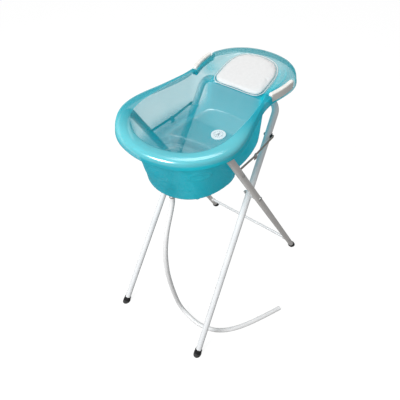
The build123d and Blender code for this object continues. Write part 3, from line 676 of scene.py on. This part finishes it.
def mould_relief(mesh):
    """relief pushed outwards along the skin of the walls"""
    normals = [v.normal.copy() for v in mesh.vertices]
    places = [v.co.copy() for v in mesh.vertices]
    for v, normal, place in zip(mesh.vertices, normals, places):
        x, y, z = place
        if abs(normal.z) > 0.8:
            continue
        # line round the base of the well
        push = 2.0 * bell(z - WELL_Z - 17, 2.6)
        # oval dimple with a ring round it in the foot-end wall
        if x < -240 and abs(y) < 75:
            radius = math.hypot(y * 0.60, z + 120)
            push += 2.2 * (1 / (1 + math.exp((radius - 17) / 1.1))) + 1.5 * bell(radius - 26, 1.8)
        # oval outline on each foot-end corner, 34 by 15 in half axes
        if x < -170 and abs(y) > 70:
            along = (x + 243) * 0.8 + (abs(y) - 122) * 0.6
            oval = math.hypot(along / 34.0, (z + 108) / 15.0)
            push += 1.9 * bell((oval - 1) * 15.0, 2.6)
        v.co = place + normal * push


def boundary_loop(bm):
    """boundary vertices in counter-clockwise order, and their smoothed x, y outline"""
    start = next(edge for edge in bm.edges if edge.is_boundary).verts[0]
    loop = [start]
    previous, current = None, start
    while True:
        others = [edge.other_vert(current) for edge in current.link_edges if edge.is_boundary]
        following = next((other for other in others if other is not previous), None)
        if following is None or following is start:
            break
        loop.append(following)
        previous, current = current, following
    points = np.array([v.co[:] for v in loop])
    x, y = points[:, 0], points[:, 1]
    if np.sum(x * np.roll(y, -1) - np.roll(x, -1) * y) < 0:
        loop = loop[::-1]
        points = points[::-1]
    return loop, relax(points[:, :2].copy(), 12)


def distance_to_outline(point, direction, outline):
    """distance along direction to a closed outline, 20 where it is missed"""
    along = np.roll(outline, -1, 0) - outline
    cross = direction[0] * along[:, 1] - direction[1] * along[:, 0]
    cross = np.where(np.abs(cross) < 1e-9, 1e-9, cross)
    gap = outline - point
    distance = (gap[:, 0] * along[:, 1] - gap[:, 1] * along[:, 0]) / cross
    fraction = (gap[:, 0] * direction[1] - gap[:, 1] * direction[0]) / cross
    struck = (fraction >= 0) & (fraction <= 1) & (distance > 0)
    return float(distance[struck].min()) if struck.any() else 20.0


def grow_rim(bm):
    """flange and skirt round the cavity's open edge"""
    loop, outline = boundary_loop(bm)
    count = len(loop)
    x, y = outline[:, 0], outline[:, 1]
    along = relax(np.roll(outline, -3, 0) - np.roll(outline, 3, 0), 60)
    along /= np.linalg.norm(along, axis=1)[:, None]
    outwards = np.stack([along[:, 1], -along[:, 0]], 1)
    outer = spline_closed(mirror_closed(RIM_OUT, 0), RIM_OUT_POINTS)
    width = relax(np.array([distance_to_outline(outline[i], outwards[i], outer)
                            for i in range(count)]), 20)

    # 1 at the foot end, where the flange is domed over the stand's tube
    foot = 1 - smooth_step(-220, -60, x)
    # 1 in the notch under each grip
    notch = smooth_step(95, 100, x) * (1 - smooth_step(224, 229, x)) * (np.abs(y) > 60)
    # where the grip's inner face cuts across the flange, as a fraction of its width
    grip_run = np.clip((x - 104.0) / 116.0, 0, 1)
    grip_y = 150.0 + 17.0 * grip_run + 5.0 * np.sin(math.pi * grip_run) - 2.0
    cut = np.clip((grip_y - np.abs(y)) / np.maximum(np.abs(outwards[:, 1]) * width, 1.0),
                  0.12, 0.9)

    def add_row(points, heights):
        rows.append([bm.verts.new((float(px), float(py), float(pz)))
                     for (px, py), pz in zip(points, heights)])

    rows = [loop]
    for vert, (px, py) in zip(loop, outline):
        vert.co.x, vert.co.y = float(px), float(py)
    for fraction, height in FLANGE:
        dome = FLANGE_DOME * foot * math.sin(math.pi * fraction) ** 0.8
        # beyond the cut the flange drops to the notch floor
        drop = (NOTCH_Z - height) * notch * smooth_step(cut - 0.10, cut + 0.02, fraction)
        add_row(outline + outwards * width[:, None] * fraction, height + dome + drop)
    for height, offset in SKIRT:
        notch_height = NOTCH_SKIRT_Z + 0.12 * (height - SKIRT[0][0])
        add_row(outline + outwards * (width + offset)[:, None],
                height * (1 - notch) + notch_height * notch)
    for inner_row, outer_row in zip(rows, rows[1:]):
        for i in range(count):
            j = (i + 1) % count
            bm.faces.new((inner_row[i], inner_row[j], outer_row[j], outer_row[i]))


def build_tub():
    cavity = merged_cavity()
    curve_seat_up(cavity.data)
    mould_relief(cavity.data)

    # keep only the wetted surface: cut at the rim plane and drop the lid
    bm = bmesh.new()
    bm.from_mesh(cavity.data)
    bmesh.ops.bisect_plane(bm, geom=bm.verts[:] + bm.edges[:] + bm.faces[:], dist=0.0001,
                           plane_co=(0, 0, 0), plane_no=(0, 0, 1), clear_outer=True,
                           clear_inner=False)
    bmesh.ops.remove_doubles(bm, verts=bm.verts[:], dist=0.4)
    bmesh.ops.recalc_face_normals(bm, faces=bm.faces[:])
    grow_rim(bm)
    bmesh.ops.recalc_face_normals(bm, faces=bm.faces[:])

    # outlet hole, with its edge under the drain fitting's flange
    hole = []
    for face in bm.faces:
        centre = face.calc_center_median()
        if centre.z < WELL_Z + 12 and math.hypot(centre.x - DRAIN_X, centre.y) < DRAIN_HOLE_R:
            hole.append(face)
    bmesh.ops.delete(bm, geom=hole, context="FACES")
    bm.normal_update()
    mesh = mesh_from_bmesh("tub", bm)
    bpy.data.objects.remove(cavity)
    tub = add_object("tub_moulding", mesh)

    # the well floor must face up, so that the wall thickens away from the bather
    well_floor = [p for p in mesh.polygons if p.center.z < WELL_Z + 4
                  and math.hypot(p.center.x + 160, p.center.y) < 40]
    if well_floor and well_floor[0].normal.z < 0:
        mesh.flip_normals()
    apply_modifier(tub, "wall", "SOLIDIFY", thickness=WALL, offset=-1.0,
                   use_even_offset=True, thickness_clamp=1.0)
    set_points(tub.data, to_scene(get_points(tub.data)))
    fix_normals(tub)
    finish(tub, materials["tub"], replaced="tub_shell")


def build_tub_foot(name, centre_y):
    """rounded cup of the tub's plastic under the foot end"""
    underside = WELL_Z - WALL
    rings = []
    for radius, depth in FOOT_PROFILE[1:-1]:
        ring = []
        for k in range(FOOT_POINTS):
            angle = 2 * math.pi * k / FOOT_POINTS
            ring.append((FOOT_X + radius * math.cos(angle),
                         centre_y + radius * math.sin(angle), underside - depth))
        rings.append(to_scene(ring))
    centres = to_scene([(FOOT_X, centre_y, underside - FOOT_PROFILE[end][1])
                        for end in (0, -1)])
    finish(loft(name, rings, centres), materials["tub"])


# ---------------------------------------------------------------------------
# Headrest: soft foam swelled with cloth pressure, and a welt round it
# ---------------------------------------------------------------------------
def swell(pad):
    """blow the pad up a little, in metres"""
    most = 0.0035
    frames = 20
    rest = get_points(pad.data)
    cloth = pad.modifiers.new("cl", "CLOTH")
    settings = cloth.settings
    settings.use_pressure = True
    settings.uniform_pressure_force = 4.0
    settings.quality = 5
    settings.tension_stiffness = 18
    settings.compression_stiffness = 18
    settings.bending_stiffness = 2.0
    settings.effector_weights.gravity = 0.0
    cloth.collision_settings.use_collision = False
    scene.frame_start, scene.frame_end = 1, frames
    for number in range(1, frames + 1):
        scene.frame_set(number)
    depsgraph = bpy.context.evaluated_depsgraph_get()
    swollen = get_points(pad.evaluated_get(depsgraph).data)
    pad.modifiers.clear()
    scene.frame_set(1)
    move = swollen - rest
    lengths = np.linalg.norm(move, axis=1)
    move *= np.minimum(1.0, most / np.maximum(lengths, 1e-9))[:, None]
    # the underside lies on the dish, so it may not swell downwards
    slope = DISH_SLOPE + abs(TILT)
    dish_up = np.array([-math.sin(slope), 0, math.cos(slope)])
    move -= np.minimum(move @ dish_up, 0)[:, None] * dish_up
    set_points(pad.data, rest + move)


def build_headrest():
    pad = loft("headrest_foam", [sloped_ring(PAD, offset, height, PAD_POINTS)
                                 for offset, height in PAD_RINGS])
    set_points(pad.data, to_scene(get_points(pad.data)))
    apply_modifier(pad, "rm", "REMESH", mode="VOXEL", voxel_size=0.0045)
    swell(pad)
    apply_modifier(pad, "ss", "SUBSURF", levels=1, render_levels=1)
    finish(pad, materials["foam"], replaced="headrest_pad")


def build_welt():
    """thin closed tube round the headrest"""
    path = to_scene(sloped_ring(PAD, WELT_OFFSET, WELT_HEIGHT, WELT_POINTS))
    along = np.roll(path, -1, 0) - np.roll(path, 1, 0)
    along /= np.linalg.norm(along, axis=1)[:, None]
    verts = []
    for point, direction in zip(path, along):
        across = np.cross(direction, np.array([0, 0, 1.0]))
        across /= np.linalg.norm(across)
        upright = np.cross(across, direction)
        for k in range(WELT_SIDES):
            angle = 2 * math.pi * k / WELT_SIDES
            verts.append(point + WELT_R * (math.cos(angle) * across
                                           + math.sin(angle) * upright))
    welt = mesh_object("headrest_welt", verts, band_faces(len(path), WELT_SIDES, wrap=True))
    fix_normals(welt)
    finish(welt, materials["foam"])


# ---------------------------------------------------------------------------
# Temperature disc markings
# ---------------------------------------------------------------------------
def build_dial_marks():
    """sixteen ticks, every fourth one longer and wider, round four dots"""
    ticks, dot_points = 16, 20
    base = SEAT_Z + 4.85
    top = base + 0.35
    outer_r = 19.0
    dots = [(0, 0, 4.2), (-7.5, 4.5, 2.2), (-7.5, -4.5, 2.2), (7.5, 0, 2.2)]  # x, y, radius
    box_faces = [(0, 3, 2, 1), (4, 5, 6, 7), (0, 1, 5, 4), (1, 2, 6, 5), (2, 3, 7, 6),
                 (3, 0, 4, 7)]
    bm = bmesh.new()
    for i in range(ticks):
        angle = 2 * math.pi * i / ticks
        inner_r, half_width = (15.0, 0.7) if i % 4 else (13.0, 1.0)
        cos, sin = math.cos(angle), math.sin(angle)
        corners = [bm.verts.new((DIAL_X + r * cos - side * sin, r * sin + side * cos, z))
                   for z in (base, top)
                   for r, side in ((inner_r, -half_width), (inner_r, half_width),
                                   (outer_r, half_width), (outer_r, -half_width))]
        for face in box_faces:
            bm.faces.new([corners[k] for k in face])
    for x, y, radius in dots:
        upper = []
        for k in range(dot_points):
            angle = 2 * math.pi * k / dot_points
            upper.append(bm.verts.new((DIAL_X + x + radius * math.cos(angle),
                                       y + radius * math.sin(angle), top)))
        lower = [bm.verts.new((v.co.x, v.co.y, base)) for v in upper]
        bm.faces.new(upper)
        bm.faces.new(lower[::-1])
        for i in range(dot_points):
            j = (i + 1) % dot_points
            bm.faces.new((lower[i], lower[j], upper[j], upper[i]))
    mesh = mesh_from_bmesh("dial_marks", bm)
    set_points(mesh, to_scene(get_points(mesh)))
    finish(add_object("dial_marks", mesh), materials["ink"])


# ---------------------------------------------------------------------------
# Floor, world, lights and camera, metres
# ---------------------------------------------------------------------------
def build_floor():
    half, z = 14, -0.0004
    floor = mesh_object("floor", [(-half, -half, z), (half, -half, z), (half, half, z),
                                  (-half, half, z)], [(0, 1, 2, 3)], smooth=False)
    floor.data.materials.append(floor_material())


def build_world():
    """the camera sees a plain white studio wall, everything else sees the soft light"""
    world = bpy.data.worlds.new("studio")
    scene.world = world
    world.use_nodes = True
    tree = world.node_tree
    soft = tree.nodes["Background"]
    soft.inputs["Color"].default_value = (1, 1, 1, 1)
    soft.inputs["Strength"].default_value = 0.44
    wall = add_node(tree, "Background", {"Color": (1, 1, 1, 1), "Strength": 1.05})
    camera_ray = add_node(tree, "LightPath").outputs["Is Camera Ray"]
    picked = mix_shaders(tree, camera_ray, soft.outputs[0], wall.outputs[0])
    tree.links.new(picked, tree.nodes["World Output"].inputs["Surface"])


def add_area_light(name, location, target, size, energy):
    data = bpy.data.lights.new(name, "AREA")
    data.shape = "DISK"
    data.size = size
    data.energy = energy
    light = add_object(name, data)
    light.location = location
    aim = Vector(target) - Vector(location)
    light.rotation_euler = aim.to_track_quat("-Z", "Y").to_euler()


def build_camera():
    """looks down at the tub from the foot end's -y corner"""
    azimuth, elevation = math.radians(-52.600), math.radians(44.920)
    data = bpy.data.cameras.new("camera")
    camera = add_object("camera", data)
    scene.camera = camera
    camera.location = (-0.97891, -0.60962, 1.688)
    backwards = Vector((math.sin(azimuth) * math.cos(elevation),
                        -math.cos(azimuth) * math.cos(elevation), math.sin(elevation)))
    camera.rotation_euler = backwards.to_track_quat("Z", "Y").to_euler()
    data.sensor_width = 36.0
    data.sensor_fit = "HORIZONTAL"
    data.lens = 35.3601
    data.clip_start = 0.05
    data.clip_end = 60.0


def set_render():
    scene.view_settings.view_transform = "Standard"
    scene.view_settings.look = "None"
    scene.view_settings.exposure = 0.0
    scene.view_settings.gamma = 1.0
    scene.cycles.use_denoising = True
    scene.cycles.max_bounces = 16
    scene.cycles.transparent_max_bounces = 32
    scene.cycles.transmission_bounces = 12
    scene.cycles.seed = 3


dress_cad_nodes()
build_tub()
build_tub_foot("tub_foot_left", FOOT_Y)
build_tub_foot("tub_foot_right", -FOOT_Y)
build_headrest()
build_welt()
build_dial_marks()
build_floor()
build_world()
add_area_light("key", location=(-2.7, 0.5, 2.6), target=(-0.05, 0, 0.75), size=1.5, energy=92.0)
add_area_light("top", location=(0.2, 0.3, 3.5), target=(0, 0, 0.8), size=1.6, energy=16.0)
build_camera()
set_render()
